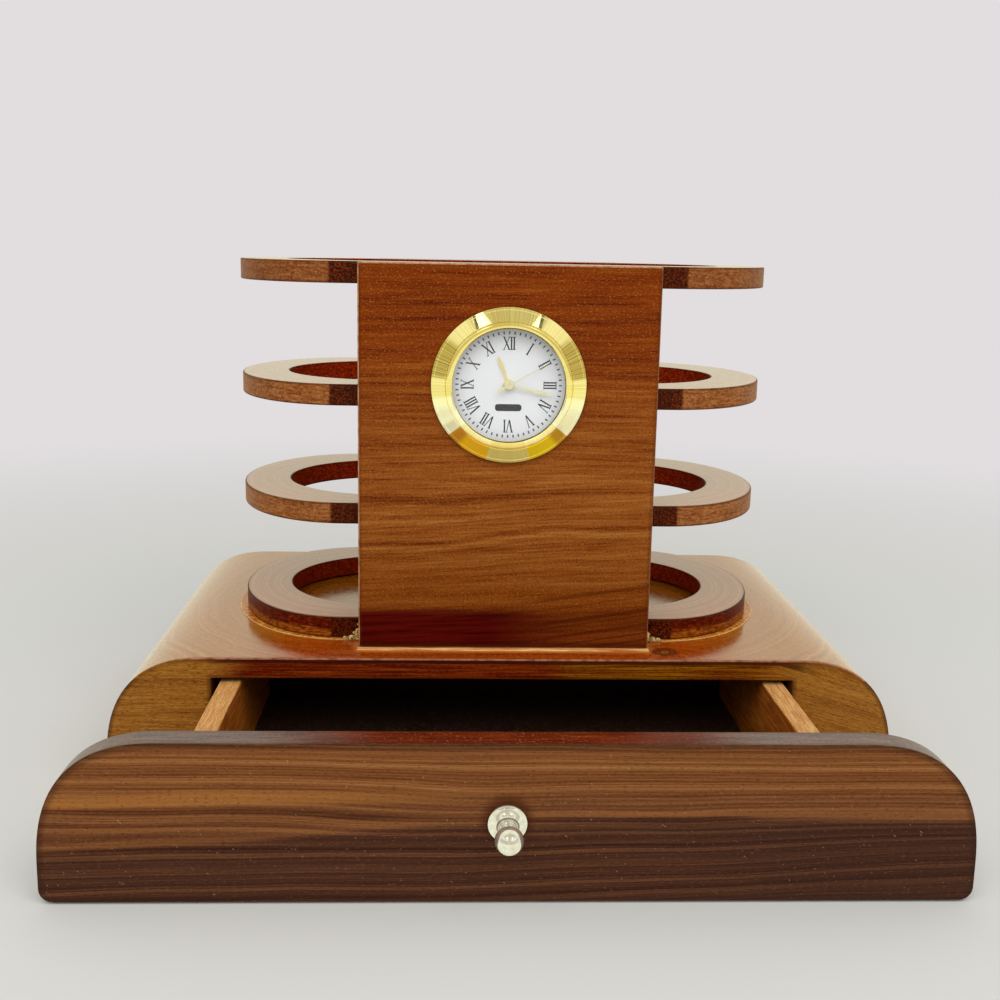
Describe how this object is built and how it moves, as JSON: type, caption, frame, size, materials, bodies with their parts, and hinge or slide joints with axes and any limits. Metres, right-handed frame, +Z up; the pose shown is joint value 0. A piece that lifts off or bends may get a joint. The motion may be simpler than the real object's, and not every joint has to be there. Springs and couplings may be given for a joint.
{
  "type": "pen holder clock",
  "caption": "Wooden desk pen holder: oval rings between two panels on a loaf-shaped base with a pull-out drawer, and a round quartz clock set in the front panel.",
  "frame": {"origin": "middle of the base's flat underside", "axes": "+X across the front to the viewer's right, +Y from the front to the back, +Z up; the drawer opens along -Y"},
  "size_m": [0.2056, 0.1825, 0.1374],
  "materials": {
    "panel_wood": "satin lacquer, orange brown with a fine horizontal grain",
    "base_top_wood": "satin lacquer, tan with a curved grain",
    "base_side_wood": "satin lacquer, olive brown end grain",
    "ring_wood": "satin lacquer, mid brown",
    "drawer_front_wood": "satin lacquer, dark striped walnut",
    "drawer_slat_wood": "plain light wood",
    "drawer_bottom_board": "dark hardboard",
    "polished_gold": "polished gold colour",
    "nickel": "polished nickel",
    "zinc_steel": "zinc plated",
    "clear_lens": "clear",
    "black_plastic": "moulded",
    "black_rubber": "ribbed",
    "dial_face": "white, with thin black numerals"
  },
  "bodies": {
    "stand": {"base_top_board": "base_top_wood", "base_side_block_left": "base_side_wood", "base_side_block_right": "base_side_wood", "base_bottom_board": "base_side_wood", "base_back_board": "base_side_wood", "front_panel": "panel_wood", "back_panel": "panel_wood", "ring_on_base": "ring_wood", "ring_lower": "ring_wood", "ring_upper": "ring_wood", "ring_top": "ring_wood"},
    "drawer": {"drawer_front": "drawer_front_wood", "drawer_side_left": "drawer_slat_wood", "drawer_side_right": "drawer_slat_wood", "drawer_back": "drawer_slat_wood", "drawer_bottom": "drawer_bottom_board", "drawer_knob": "nickel", "knob_screw": "zinc_steel"},
    "clock": {"clock_bezel": "polished_gold", "clock_lens": "clear_lens", "clock_housing": "black_plastic", "clock_gasket": "black_rubber", "clock_dial": "dial_face", "movement_case": "black_plastic", "battery_cell": "zinc_steel"},
    "battery_cover": {"battery_cover": "black_plastic"},
    "set_knob": {"set_knob": "black_plastic"},
    "hour_hand": {"hour_hand": "polished_gold"},
    "minute_hand": {"minute_hand": "polished_gold"},
    "second_hand": {"second_hand": "polished_gold"}
  },
  "joints": [
    {"name": "drawer_slide", "type": "slide", "parent": "stand", "child": "drawer", "axis": [0, -1, 0], "range_m": [-0.0485, 0.036]},
    {"name": "clock_pull", "type": "slide", "parent": "stand", "child": "clock", "axis": [0, -1, 0], "range_m": [0, 0.03]},
    {"name": "battery_cover_lift", "type": "slide", "parent": "clock", "child": "battery_cover", "axis": [0, 1, 0], "range_m": [0, 0.006]},
    {"name": "set_knob_turn", "type": "hinge", "parent": "clock", "child": "set_knob", "pos_m": [0.0072, -0.0413, 0.114], "axis": [0, 1, 0], "continuous": true},
    {"name": "minute_hand_turn", "type": "hinge", "parent": "clock", "child": "minute_hand", "pos_m": [0, -0.0488, 0.1072], "axis": [0, 1, 0], "continuous": true},
    {"name": "hour_hand_turn", "type": "hinge", "parent": "clock", "child": "hour_hand", "pos_m": [0, -0.0488, 0.1072], "axis": [0, 1, 0], "continuous": true},
    {"name": "second_hand_turn", "type": "hinge", "parent": "clock", "child": "second_hand", "pos_m": [0, -0.0488, 0.1072], "axis": [0, 1, 0], "continuous": true}
  ],
  "couplings": [
    {"joint": "hour_hand_turn", "follows": "minute_hand_turn", "ratio": 0.083333},
    {"joint": "set_knob_turn", "follows": "minute_hand_turn", "ratio": -0.33333}
  ]
}
